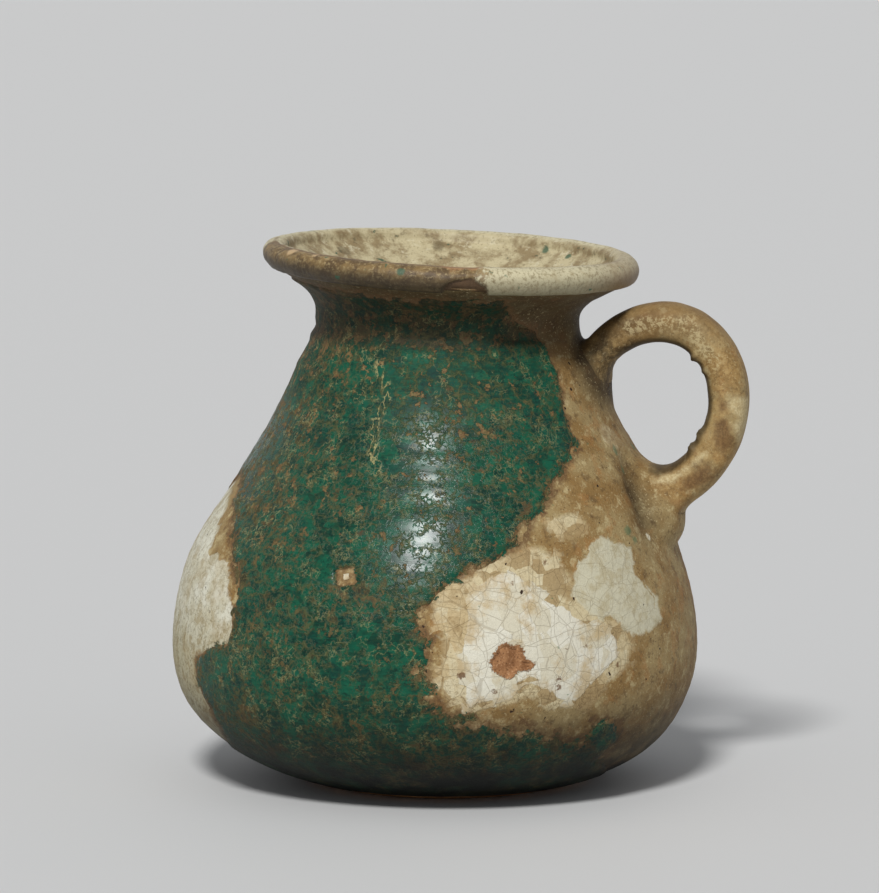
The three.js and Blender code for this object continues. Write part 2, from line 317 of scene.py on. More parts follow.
def inside(point, outline):
    """How far inside an outline each flat point lies, and below 0 outside it: the distance to its nearest
    side. A point is inside where a level line from it crosses the sides an odd number of times."""
    corners = pairs(outline)
    odd = np.zeros(point.shape[:-1], bool)
    for a, b in zip(corners, np.roll(corners, -1, axis=0)):
        crosses = (a[1] > point[..., 1]) != (b[1] > point[..., 1])
        rise = b[1] - a[1] if b[1] != a[1] else 1
        odd ^= crosses & (point[..., 0] < a[0] + (b[0] - a[0]) * (point[..., 1] - a[1]) / rise)
    nearest = off_path(point, np.vstack([corners, corners[:1]]))
    return np.where(odd, nearest, -nearest)


def within(line, columns, outline):
    """How far inside an outline on the wall each point of a turned line lies."""
    flat, corners = laid_flat(line, columns, outline)
    return inside(flat, corners)


CHIP = [-68.5, 31.1, -67.5, 32.7, -66.6, 32.7, -66.5, 33.6, -65, 34.4, -63.3, 33.6, -62.4, 34.2,
        -61.4, 33.5, -61, 31.9, -60.4, 31.1, -58.4, 30.4, -59, 29.5, -60.5, 28.9, -62, 29.4, -63, 28.6,
        -63.6, 27.8, -65, 27.8, -66.2, 28.6, -67.6, 29.4]


def chipped(line, columns, grid):
    """How far inside the chip that goes down to the clay each point of the wall lies, with torn edges."""
    return within(line, columns, CHIP) + 0.25 * clouds(grid, 1.1, 5)


class Wire:
    """A value in a material. An expression on it adds the Math nodes that work it out."""

    def __init__(self, paint, socket):
        self.paint = paint
        self.socket = socket

    def math(self, operation, first, second):
        """What one operation makes of two values."""
        return self.paint.node("ShaderNodeMath", {"operation": operation}, {0: first, 1: second})

    def __add__(self, other):
        return self.math("ADD", self, other)

    def __sub__(self, other):
        return self.math("SUBTRACT", self, other)

    def __rsub__(self, other):
        return self.math("SUBTRACT", other, self)

    def __mul__(self, other):
        return self.math("MULTIPLY", self, other)

    __radd__ = __add__
    __rmul__ = __mul__

    def __or__(self, other):
        """The larger of the two."""
        return self.math("MAXIMUM", self, other)

    def step(self, low, high):
        """0 at low and 1 at high, with a smooth rise or fall between them."""
        return self.paint.node("ShaderNodeMapRange", {"interpolation_type": "SMOOTHSTEP"},
                               {0: self, 1: low, 2: high, 3: 0, 4: 1})


def color(red, green, blue):
    """A colour as a screen shows it, from 0 to 255, turned into light."""
    value = np.array([red, green, blue]) / 255
    light = np.where(value > 0.04045, ((value + 0.055) / 1.055) ** 2.4, value / 12.92)
    return (*light.tolist(), 1)


class Nodes:
    """A tree of shader nodes, built up node by node."""

    def __init__(self, owner):
        owner.use_nodes = True
        self.tree = owner.node_tree
        self.tree.nodes.clear()

    def node(self, kind, settings, inputs, output=0):
        """One output of a new node, if it has any. Its settings are set first, and then its sockets."""
        node = self.tree.nodes.new(kind)
        for name, value in settings.items():
            setattr(node, name, value)
        for socket, value in inputs.items():
            if isinstance(value, Wire):
                self.tree.links.new(value.socket, node.inputs[socket])
            else:
                node.inputs[socket].default_value = value
        return Wire(self, node.outputs[output]) if len(node.outputs) else None


class Paint(Nodes):
    """A material. Its patterns lie in the object's own space, in millimetres."""

    def __init__(self, name):
        self.material = bpy.data.materials.new(name)
        super().__init__(self.material)
        place = self.node("ShaderNodeTexCoord", {}, {}, "Object")
        self.place = self.vector("SCALE", {0: place, 3: 1 / MM})
        self.height = self.node("ShaderNodeSeparateXYZ", {}, {0: self.place}, 2)

    def vector(self, operation, inputs, output=0):
        """A vector, or its length, worked out by one operation."""
        return self.node("ShaderNodeVectorMath", {"operation": operation}, inputs, output)

    def mark(self, name):
        """A number kept at the mesh's points."""
        return self.node("ShaderNodeAttribute", {"attribute_name": name}, {}, 2)

    def stretched(self, x, y, z):
        """The place, with each axis taken so many times."""
        return self.vector("MULTIPLY", {0: self.place, 1: (x, y, z)})

    def shaken(self, size, amount):
        """The place moved about by noise of a size, by up to about an amount."""
        shift = self.node("ShaderNodeTexNoise", {}, {
            "Vector": self.place, "Scale": 1 / size, "Detail": 2}, 1)
        centred = self.vector("SUBTRACT", {0: shift, 1: (0.5, 0.5, 0.5)})
        return self.vector("ADD", {0: self.place, 1: self.vector("SCALE", {0: centred, 3: 2 * amount})})

    def noise(self, size, detail=4, rough=0.55, at=None):
        """Noise of a size in mm, from 0 to 1 round 0.5."""
        return self.node("ShaderNodeTexNoise", {}, {
            "Vector": at or self.place, "Scale": 1 / size, "Detail": detail, "Roughness": rough})

    def cells(self, size, feature, at=None, output=0, loose=1.0):
        """Cells of a size in mm: the distance to their edges, in cell sizes, or a random colour each.
        They are squares where loose is 0 and of any shape where it is 1."""
        return self.node("ShaderNodeTexVoronoi", {"feature": feature}, {
            "Vector": at or self.place, "Scale": 1 / size, "Randomness": loose}, output)

    def cracks(self, size, at, loose, wide=0.1):
        """A net of cracks round cells of a size in mm, from 0 to 1."""
        return (self.cells(size, "DISTANCE_TO_EDGE", at, 0, loose) * size).step(wide, wide * 0.25)

    def chance(self, picks, which=0):
        """One of the three random numbers, from 0 to 1, that each cell's colour holds."""
        return self.node("ShaderNodeSeparateColor", {}, {0: picks}, which)

    def lines(self, size, at, wide=0.03):
        """Thin winding lines: where noise of a size passes through its middle value."""
        value = self.noise(size, 3, 0.6, at)
        return value.step(0.5 - wide, 0.5) * value.step(0.5 + wide, 0.5)

    def mix(self, share, first, second):
        """The first colour where share is 0 and the second where it is 1."""
        return self.node("ShaderNodeMix", {"data_type": "RGBA"}, {0: share, 6: first, 7: second}, 2)

    def frayed(self, name, noise, amount, low, high):
        """The share that a mark gives, from 0 at low to 1 at high, with its edge broken up by noise."""
        return (self.mark(name) + (noise - 0.5) * amount).step(low, high)

    def layers(self, base, *rows):
        """A colour with others laid over it in turn. A row ends with red, green and blue. Before them it
        has the share of the colour, or a source, its values where the colour sets in and is whole, and
        how strong it gets."""
        for row in rows:
            *rule, red, green, blue = row
            share = rule[0] if len(rule) == 1 else rule[0].step(rule[1], rule[2]) * rule[3]
            base = self.mix(share, base, color(red, green, blue))
        return base

    def finish(self, base, roughness, relief, shine):
        """The surface itself. Relief is its height in mm, which a bump gives it, and shine says how much
        light it mirrors: 0.5 for clean glass."""
        bump = self.node("ShaderNodeBump", {}, {"Strength": 1.0, "Distance": MM, "Height": relief})
        shader = self.node("ShaderNodeBsdfPrincipled", {}, {
            "Base Color": base, "Roughness": roughness, "Normal": bump, "Specular IOR Level": shine})
        self.node("ShaderNodeOutputMaterial", {}, {"Surface": shader})
        return self.material


def broken_clay(paint):
    """The colour and the relief of a break in the clay: gritty, with dark grit and pale dust."""
    patches = paint.noise(3.2, 5, 0.6)
    grit = paint.noise(0.4, 3, 0.6)
    base = paint.layers(
        color(126, 86, 54),
        (patches, 0.35, 0.65, 1, 172, 126, 86),
        (grit, 0.56, 0.72, 0.6, 200, 160, 124),
        (grit, 0.42, 0.3, 0.7, 70, 42, 26),
    )
    return base, grit * 0.12 + patches * 0.2


def bare_clay():
    """The clay all over, dull and gritty."""
    paint = Paint("bare clay")
    base, relief = broken_clay(paint)
    return paint.finish(base, 0.85, relief, 0.2)


clay_material = bare_clay()
clay_outside = inset(wall_line, CLAY_DEPTH)
clay_outside = clay_outside[clay_outside[:, 1] > 1.1]
foot_edge = [FOOT[0] + 3.4, 0.9]
clay_line = joined(
    np.column_stack([np.linspace(1, FOOT[0], 12), np.zeros(12)]),
    np.array([FOOT, foot_edge]),
    spaced(np.vstack([foot_edge, clay_outside]), 100),
    bead(np.linspace(BEAD_START, FUNNEL_ANGLE, 14), CLAY_BEAD_RADIUS),
    spaced(inner_line(), 84),
    np.column_stack([np.linspace(FLOOR_RADIUS, 1, 10), np.full(10, FLOOR)]),
)
OUTSIDE_ROWS = 114
CLAY_COLUMNS = 300
clay_grid = thrown(clay_line, CLAY_COLUMNS)
clay_chips = chipped(clay_line, CLAY_COLUMNS, clay_grid)
is_outside = (np.arange(len(clay_line)) < OUTSIDE_ROWS)[:, None] & (clay_line[:, 1:] > 2)
dish = np.where(is_outside, smooth(clay_chips, -0.4, 1.2) * (0.22 + 0.14 * clouds(clay_grid, 1.3, 7)), 0)
dish = dish + np.where(is_outside, dents(clay_grid), 0)
clay_grid = clay_grid - outward(clay_grid) * dish[..., None]
thrown_clay = skin("thrown_clay", clay_grid)
thrown_clay.data.materials.append(clay_material)
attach(thrown_clay, "root")
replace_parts(thrown_clay, "clay_body")

# The handle's coil
# A coil of the same clay, flattened a little and bent into a loop for one finger. It leaves the neck
# upwards, turns over and comes back to the shoulder, where its end was pressed on.

COIL_HALF_THICK = [3.3, 3.9, 3.85, 4.4]
COIL_HALF_WIDE = 5.25
SECTION_POWER = 2.7
HANDLE_GLAZE_THICK = 0.45


def root_at(height, sunk):
    """A point of the handle's middle line on the wall at a height, sunk into the clay."""
    clay = inset(wall_line, 1)
    return np.array([np.interp(height, clay[:, 1], clay[:, 0]) + axis_shift(height) - sunk, height])


def going(degrees, far):
    """A flat step of a length, at an angle from the first axis towards the second."""
    return np.array([np.cos(np.radians(degrees)), np.sin(np.radians(degrees))]) * far


CROWN = np.array([43.0, 91.1])
OUTER_SIDE = np.array([55.9, 76.2])
ROUNDNESS = 0.56
upper_root, lower_root = root_at(79, 2.3), root_at(57.3, 1.5)
over = np.array([(OUTER_SIDE[0] - CROWN[0]) * ROUNDNESS, 0])
down = np.array([0, (OUTER_SIDE[1] - CROWN[1]) * ROUNDNESS])
handle_line = joined(
    curve(upper_root, going(70.5, 7.6), CROWN, over),
    curve(CROWN, over, OUTER_SIDE, down),
    curve(OUTER_SIDE, going(-90, 8.8), lower_root, going(186.7, 9.9)),
)


def half_thick(share):
    """Half the coil's thickness at a share of the way down it, from straight steps between four sizes."""
    return np.interp(share, np.linspace(0, 1, 4), COIL_HALF_THICK)


def coil(rows, columns, depth):
    """The coil's surface at a depth below the finished one. Its section is a rounded oblong, the curve
    |across / half width| ^ power + |in / half thickness| ^ power = 1, carried along the middle line.
    The first column faces into the loop."""
    line = spaced(handle_line, rows)
    step = unit(np.gradient(line, axis=0))
    inwards = np.column_stack([step[:, 1], 0 * step[:, 0], -step[:, 0]])
    turn = np.radians(turns(columns, 0))
    inner = np.sign(np.cos(turn)) * np.abs(np.cos(turn)) ** (2 / SECTION_POWER)
    side = np.sign(np.sin(turn)) * np.abs(np.sin(turn)) ** (2 / SECTION_POWER)
    middle = np.column_stack([line[:, 0], 0 * line[:, 0], line[:, 1]])[:, None]
    thick = half_thick(np.linspace(0, 1, rows))[:, None, None] - depth
    return (middle + thick * inner[:, None] * inwards[:, None]
            + (COIL_HALF_WIDE - depth) * side[:, None] * np.array([0, 1, 0]))


coil_grid = coil(200, 64, HANDLE_GLAZE_THICK + 0.1)
coil_grid = coil_grid + outward(coil_grid) * 0.06 * clouds(coil_grid, 5, 11)[..., None]
clay_coil = skin("clay_coil", coil_grid)
clay_coil.data.materials.append(clay_material)
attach(clay_coil, "root")
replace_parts(clay_coil, "handle_coil")

# The two wads
# Soft clay pressed round the coil's ends and smeared out over the wall, under the glaze. The lower one
# is a plump pad with the dent of the thumb that pressed it on.

UPPER_WAD = {"turn": 0, "height": 83.5, "half_wide": 11.5, "half_high": 12, "proud": 0.7}
LOWER_WAD = {"turn": -1, "height": 53.6, "half_wide": 12.5, "half_high": 7, "proud": 2.85}


def wall_radius(height, depth):
    """The radius of the wall at a height, a depth below the finished surface, before it settled."""
    line = inset(wall_line, depth)
    return np.interp(height, line[:, 1], line[:, 0])


def pad(ring, proud):
    """How proud a pad of clay stands, from its middle at ring 0 to its rim at 1: flat on top, with a
    round shoulder and a soft foot, as the square of 1 less the cube of the ring."""
    return proud * (1 - np.clip(ring, 0, 1) ** 3) ** 2


def wad(name, place, rows=30, columns=64):
    """A pad of clay on the wall: rings round its middle, closed by a sole just in the clay."""
    ring = np.linspace(0.03, 1, rows)[:, None]
    turn = np.radians(turns(columns, 0))
    across = place["half_wide"] * ring * np.cos(turn)
    height = place["height"] + place["half_high"] * ring * np.sin(turn)
    proud = pad(ring, place["proud"])
    sheets = []
    for lift in (proud + 0.05, 0 * proud - 0.4):
        radius = wall_radius(height, CLAY_DEPTH) + lift
        around = np.radians(place["turn"]) + across / wall_radius(place["height"], 0)
        level = np.stack([np.cos(around), np.sin(around), 0 * height], axis=-1)
        point = settled(radius[..., None] * level + height[..., None] * np.array([0, 0, 1]))
        sheets.append(point - dents(point)[..., None] * level)
    piece = skin(name, np.vstack([sheets[1], sheets[0][::-1]]))
    piece.data.materials.append(clay_material)
    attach(piece, "root")
    return piece


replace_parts(wad("upper_wad", UPPER_WAD), "upper_lute")
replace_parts(wad("lower_wad", LOWER_WAD), "lower_lute")

# How wall, wads and handle flow together
# Glaze covers the joints, so the surfaces of the coats meet in soft hollows with no edge. Each coat is
# moved out to one shared surface, at which the blended distance from wall, wads and coil is nought.


def blend(first, second, width):
    """The smaller of two distances, rounded off by up to a quarter of a width where they are alike."""
    share = np.clip(0.5 + 0.5 * (second - first) / width, 0, 1)
    return second * (1 - share) + first * share - width * share * (1 - share)


def wall_distance(point):
    """How far a point lies outside the white ground's wall, and below 0 inside it. The height on the wall
    before the rim tilted is found in two passes."""
    x, y, z = point[..., 0], point[..., 1], point[..., 2]
    for _ in range(2):
        z = point[..., 2] + RIM_TILT * x * rim_share(z)
    line = inset(wall_line, GREEN_THICK)
    upright = np.interp(z, line[:, 1], unit(np.gradient(line, axis=0))[:, 1])
    return (np.hypot(x - axis_shift(z), y) - np.interp(z, line[:, 1], line[:, 0])) * upright


BEADS = 160
handle_beads = spaced(handle_line, BEADS)
bead_half_thick = half_thick(np.linspace(0, 1, BEADS))


def coil_distance(point):
    """How far a point lies outside the handle, and below 0 inside it. The nearest point of the middle
    line gives the offset in the loop's plane, Y gives the offset across, and the section's own curve
    scales the two."""
    flat = point[..., [0, 2]].reshape(-1, 2)
    spans = length(flat[:, None] - handle_beads)
    nearest = spans.argmin(axis=1)
    apart = spans.min(axis=1).reshape(point.shape[:-1])
    thick = bead_half_thick[nearest].reshape(point.shape[:-1])
    across = np.abs(point[..., 1])
    scaled = (apart / thick) ** SECTION_POWER + (across / COIL_HALF_WIDE) ** SECTION_POWER
    scaled = np.maximum(scaled, 1e-6) ** (1 / SECTION_POWER)
    return np.hypot(apart, across) * (1 - 1 / np.maximum(scaled, 0.2))


def wads_lift(point):
    """How proud the wads stand at a point of the wall, less the dents pressed into them."""
    lift = -dents(point)
    for place in (UPPER_WAD, LOWER_WAD):
        turn = np.arctan2(point[..., 1], point[..., 0]) - np.radians(place["turn"])
        across = turn * wall_radius(place["height"], 0) / place["half_wide"]
        up = (point[..., 2] - place["height"]) / place["half_high"]
        lift = lift + pad(np.hypot(across, up), place["proud"])
    return lift


JOINT_HEIGHTS = [56, 62, 73, 80, 87]
JOINT_WIDTHS = [4.4, 6.4, 7, 7, 2.2]
JOINT_REACH = 9
JOINT_TOP = 94
PROBE = 0.02


def pot_distance(point):
    """How far a point lies outside the wall with its wads and dents, and below 0 inside it."""
    return wall_distance(point) - wads_lift(point)


def joint_distance(point):
    """The blended distance from wall with wads, and from the coil. The hollow is widest inside the loop's
    upper corner."""
    width = np.interp(point[..., 2], JOINT_HEIGHTS, JOINT_WIDTHS)
    return blend(pot_distance(point), coil_distance(point), width)


def flowing(grid, owner, other, under=0.1):
    """A grid moved out to the joint's surface, by steps along the slope of the blended distance. What
    lies deep inside the other body stays there, and past the middle of the joint the grid dips just
    under the other's surface."""
    near = np.maximum(np.abs(pot_distance(grid)), coil_distance(grid)) < JOINT_REACH
    near &= grid[..., 2] < JOINT_TOP
    start = grid[near]
    point = start.copy()
    for _ in range(4):
        value = joint_distance(point)
        probes = [joint_distance(point + side) - value for side in np.eye(3) * PROBE]
        slope = np.stack(probes, axis=-1) / PROBE
        steep = np.maximum((slope ** 2).sum(axis=-1, keepdims=True), 0.2)
        point = point - np.clip(value[..., None] * slope / steep, -1.5, 1.5)
    side = slope / np.sqrt(steep)
    over_middle = owner(point) - other(point)
    point = point - side * (under * smooth(over_middle, -0.3, 0.3))[..., None]
    away = np.maximum(np.abs(pot_distance(start)), coil_distance(start))
    shown = smooth(other(start), -3.2, -2) * smooth(away, JOINT_REACH, 5.5)
    shown *= smooth(start[:, 2], JOINT_TOP, 91)
    result = grid.copy()
    result[near] = start + (point - start) * shown[..., None]
    return result


# The white ground
# A thin pale coat over the whole wall and the joints, under the green. Where the green has come off it
# shows as clean crackled flakes with angular edges, or stained tan and ochre with dark pits.

WEAR_RIGHT = [-66, 99, -58, 95.5, -50, 92.5, -38, 90.5, -33, 86, -31, 82, -34, 76, -35, 70, -45, 65,
              -57, 57, -62, 52, -78, 45.5, -83, 40, -82, 33, -83.5, 29.5, -81, 26, -77.5, 21,
              -72.5, 19.6, -65.5, 18, -58.5, 17.4, -50, 13.3, -43, 13.3, -41.5, 16.6, -37, 17.4,
              -34.5, 13.3, -36, 8.6, -20, 4, -5, 0, 8, -4, 18, 3, 22, 12, 33, 20, 30, 31, 40, 42,
              34, 55, 23, 61, 28, 72, 19, 82, 27, 90, 20, 100]
WEAR_LEFT = [-157, 60, -146, 54, -139, 50, -131.5, 44.5, -129.5, 41, -130, 37.4, -129.5, 35,
             -131, 31.9, -137, 29.2, -142.5, 28, -143, 23, -141.5, 20.5, -139.5, 17.5, -141, 13,
             -147, 9.5, -160, 8, -178, 12, -190, 24, -193, 40, -184, 54, -170, 61]
WEAR_BACK = [118, 58, 104, 61, 93, 54, 88, 44, 95, 34, 108, 30, 121, 36, 128, 47]
WEAR_BACK_LOW = [62, 22, 52, 20, 46, 11, 50, 4, 62, 2, 72, 9]
GREEN_TOP = 97.5

WHITE_CORE = [-70.5, 45.5, -67.5, 46.9, -65, 48.3, -62, 47.6, -57, 44, -51.5, 41.1, -44.5, 37.4,
              -40.5, 36.6, -37, 33.5, -37, 30.3, -40, 28.6, -45, 25.3, -47.5, 22.7, -50.5, 21.9,
              -53.5, 22.7, -56, 25.3, -59.5, 27, -62, 26.1, -64, 23.6, -70.5, 22.7, -74, 21.1,
              -74.5, 33.5, -73.5, 38.9, -72, 42.6]
GREY_LOBE = [-45.5, 48.3, -41, 51, -37, 52.3, -31.5, 51, -27.5, 49.6, -27, 44.8, -21.5, 39.6,
             -21.5, 35.8, -26, 33.5, -33, 33.5, -38, 37.5, -43.5, 37.5, -48, 41.9]
CREAM_FLAKES = [
    [-79.5, 44, -75.5, 46.2, -71.5, 47.6, -64.5, 50.3, -60.5, 51, -59.5, 52.3, -54, 52.3, -50.5, 49.5,
     -47.5, 46.5, -44, 41.5, -39, 37, -33, 35, -31, 32, -33, 29, -36.5, 27, -40.5, 23.6, -44.5, 21.1,
     -50, 20.4, -55, 22.2, -60, 23.8, -65, 22, -70.5, 21.4, -75.5, 22, -79, 27, -79.5, 35, -79, 38.9,
     -80, 41.9],
    [-54.5, 56.8, -43, 56.8, -40, 54.9, -42.5, 53, -47.5, 53.6, -52.5, 54.3],
    [-16, 71.1, -9, 70.4, -7.5, 68, -13.5, 67.2, -17.5, 68, -20, 69.6],
    [112, 55, 104, 57, 97, 50, 99, 42, 108, 38, 116, 44],
]
PALE_LEFT = [-163, 57.5, -155.5, 55, -154.5, 52.5, -150.5, 51, -149, 48.3, -147, 46.9, -141.5, 46.2,
             -137.5, 46.2, -134.5, 43.5, -133.5, 41, -132, 39.4, -129.5, 37.6, -129.5, 35, -131, 31.9,
             -137, 29.5, -143, 28.6, -145, 27, -145.3, 23.6, -144, 21, -142, 18, -143.5, 13.5,
             -150, 10, -162, 10.5, -178, 14.5, -188, 26, -190.5, 40, -182, 52, -171, 58.5]
BROWN_SPOTS = [(-74.5, 28.6, 0.7), (-53, 27, 0.5), (-53, 25.3, 0.6), (-62.5, 45.5, 0.4), (-54, 49, 0.5),
               (-37.5, 28.6, 0.5), (-51, 32.7, 0.3), (-46, 32.7, 0.3), (-67.5, 25.3, 0.5)]
WHITE_SPECK = (-16.5, 51, 0.2)
GREEN_SPOTS = [(-15, 67.2, 1.1), (-15.5, 64, 0.9), (2, 66.4, 0.9), (-27, 53, 1), (-24.5, 51, 0.8)]
SMALL_CHIP = [-104, 47.8, -99.5, 48.4, -98, 45.4, -102.6, 44.7]
SCRATCH_PATH = [-108, 84.6, -105.5, 82.7, -101.5, 80.1, -101.5, 77.6, -104.5, 74.8, -103.5, 71.1,
                -103, 68, -100.5, 65.6]


def bare_of_green(line, columns, grid):
    """How far inside the worn places each point lies, with ragged edges, and below 0 under the green."""
    worn = within(line, columns, WEAR_RIGHT)
    for outline in (WEAR_LEFT, WEAR_BACK, WEAR_BACK_LOW):
        worn = np.maximum(worn, within(line, columns, outline))
    over_top = np.broadcast_to(along_wall(line[:, 1:]) - along_wall(GREEN_TOP), worn.shape)
    ragged = 0.8 * clouds(grid, 5.5, 21) + 0.7 * clouds(grid, 2.4, 22)
    return np.maximum(worn, over_top) + ragged


def blots_and_specks(paint):
    """The two noises that break up every glaze here: soft blots and fine specks."""
    return paint.noise(2.6, 6, 0.66), paint.noise(0.45, 3, 0.6)


def stained(paint, mid, specks):
    """The colour of the weathered ground: ochre and tan in soft clouds, paler where it is rubbed, with
    orange blots, dark specks and pale dust. Painted shade makes it browner and darker low down, on the
    neck under the lip, round the handle's upper end and in the thumb dents."""
    # Painted shadow of the lip on the neck: darker high up and near the axis.
    off_axis = paint.vector("LENGTH", {0: paint.stretched(1, 1, 0)}, "Value")
    dark = paint.height.step(80, 92) * off_axis.step(40, 33) * 0.8
    return paint.layers(
        color(136, 107, 63),
        (paint.noise(9, 4, 0.55), 0.38, 0.6, 1, 154, 133, 91),
        (mid, 0.52, 0.68, 0.75, 98, 76, 46),
        (mid, 0.46, 0.32, 0.75, 186, 169, 126),
        (paint.noise(4.2, 4, 0.6), 0.54, 0.66, 0.4, 158, 112, 62),
        # Painted shade: the lip's shadow, and the shade mark round the handle's upper end and in the thumb
        # dents.
        (dark | paint.mark("shade") * (mid * 0.5 + 0.62), 50, 39, 25),
        # Painted shade: browner and darker towards the foot.
        (paint.height, 24, 12, (mid + 0.1) * 0.8, 92, 76, 50),
        (specks, 0.58, 0.7, 0.6, 74, 52, 32),
        (specks, 0.42, 0.3, 0.45, 198, 182, 142),
    )


def shaded_towards_foot(paint, base):
    """A colour darkened towards the foot by painted shade, unevenly in soft clouds."""
    # Painted shade, near black towards the foot and uneven in soft clouds.
    foot_shade = paint.height.step(27, 3) * (paint.noise(7, 5, 0.6).step(0.32, 0.62) * 0.35 + 0.7)
    return paint.mix(foot_shade, base, color(7, 11, 7))


def glazed(paint, mid, specks):
    """The wall as it is now: stained ground with what is left of the green glaze. The glaze lies in small
    pools of teal, bluish and dark green. Between them runs a net of olive and pale veins, some pools have
    turned to brown crumbs or rust, and fine level streaks, pale flecks and one scratch cross them. Both
    coats of the wall wear this, so that the torn edge of the glaze runs on from one to the other. It
    gives the colour, how far the wall is covered, how far it is glossy, and the relief."""
    tan = stained(paint, mid, specks)
    worn = paint.mark("worn")
    bent = paint.shaken(2.2, 1.5)
    picks = paint.cells(2.6, "F1", bent, 1)
    first, second, third = (paint.chance(picks, which) for which in range(3))
    edge = paint.cells(2.6, "DISTANCE_TO_EDGE", bent) * 2.6
    fray = paint.noise(1.2, 7, 0.74)
    left = (first - 0.5) * 2 - paint.mark("bare") + (paint.noise(2.6, 6, 0.72) - 0.5) * 7
    covered = left.step(-0.15, 0.15)
    tan = paint.mix(left.step(-2.4, -0.2) * (mid + specks) * 0.8, tan, color(100, 74, 47))
    bias = worn * 0.2 + left.step(3, 0) * 0.15 + (paint.noise(12, 3, 0.5) - 0.5) * 0.5
    crumbs = ((third - 0.5) * 0.24 + fray + bias).step(0.61, 0.75)
    rust = (paint.noise(2.3, 5, 0.7) + bias * 0.4).step(0.6, 0.64)
    gate = (paint.noise(3.4, 4, 0.6) + bias).step(0.38, 0.54)
    veins = edge.step(0.22, 0.04) | paint.cracks(1.1, paint.shaken(0.9, 0.7), 1, 0.14) * 0.6
    veins = veins * gate * fray.step(0.4, 0.54)
    streaks = paint.noise(1.1, 5, 0.66, paint.stretched(0.28, 0.28, 2))
    between = edge.step(0.8, 0.15) * (gate * 0.5 + 0.3) * fray.step(0.42, 0.58)
    teal = paint.layers(
        color(2, 52, 38),
        (mid * 0.7 + first * 0.3, 0.36, 0.64, 1, 6, 81, 58),
        (second, 0.7, 0.85, 0.35, 1, 55, 50),
        (streaks, 0.5, 0.7, 0.5, 20, 98, 72),
        (streaks, 0.45, 0.32, 0.6, 2, 34, 28),
        (fray, 0.46, 0.36, 0.65, 3, 28, 21),
        (between, 40, 52, 26),
    )
    earth = paint.layers(
        color(48, 43, 24),
        (mid, 0.4, 0.62, 1, 76, 67, 39),
        (specks, 0.56, 0.68, 0.7, 116, 102, 66),
        (specks, 0.42, 0.3, 0.6, 28, 36, 22),
        (second, 0.3, 0.2, 0.35, 104, 74, 46),
    )
    rusty = paint.layers(
        color(112, 76, 46), (specks, 0.4, 0.6, 1, 136, 108, 68), (paint.height, 62, 40, 0.7, 82, 72, 42))
    flecks = paint.lines(1.8, paint.place) * paint.noise(4.5, 3, 0.6).step(0.5, 0.6) * (worn * 0.4 + 0.35)
    scratches = paint.lines(1.5, paint.stretched(1, 1, 0.3), 0.05) * paint.mark("scratched")
    base = paint.layers(
        paint.mix(rust * 0.75, paint.mix(crumbs * 0.9, teal, earth), rusty),
        (veins * 0.5, 96, 95, 58),
        (flecks | scratches * 0.9, 168, 158, 108),
        # Painted shadow of the lip: the neck above 86.5 mm turns near black.
        (paint.height, 86.5, 89, 0.6, 20, 24, 15),
    )
    glossy = covered * (1 - (crumbs | scratches | rust)) * (1 - veins * 0.5)
    grain = specks * 0.06 + mid * 0.1
    relief = covered * 0.12 - covered * crumbs * 0.06 + grain * (1 - glossy) + veins * 0.03
    relief = relief + streaks * 0.012
    glossy = glossy * paint.height.step(82, 70) * paint.height.step(6, 34)
    return paint.mix(covered, tan, base), covered, glossy, relief


